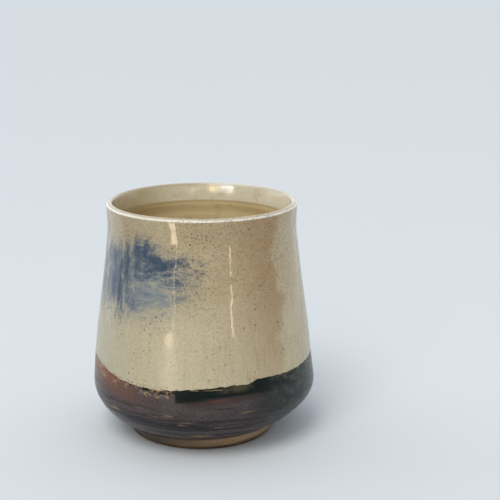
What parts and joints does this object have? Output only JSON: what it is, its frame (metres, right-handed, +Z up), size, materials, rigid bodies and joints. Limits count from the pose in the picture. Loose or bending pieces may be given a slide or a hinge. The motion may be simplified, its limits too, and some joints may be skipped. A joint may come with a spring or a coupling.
{
  "type": "ceramic tumbler",
  "caption": "Hand-thrown stoneware tumbler with a full belly, drawn-in neck and turned foot, pale speckled glaze above a dark brushed band.",
  "frame": {"origin": "centre of the foot ring, on the table", "axes": "+Z up along the axis the cup was thrown on; -Y faces the viewer, +X to the viewer's right"},
  "size_m": [0.0856, 0.0856, 0.09],
  "materials": {
    "bare_stoneware": "matte, bare fired clay on the turned foot",
    "liner_glaze": "gloss, buff liner glaze with fine specks",
    "upper_glaze": "gloss, cream glaze with dark specks and a blue oxide wash",
    "base_band": "satin, dark brushed oxide slip under thin glaze"
  },
  "bodies": {
    "root": {"stoneware_body": "bare_stoneware", "liner_glaze": "liner_glaze", "upper_glaze": "upper_glaze", "base_band": "base_band"}
  },
  "joints": []
}
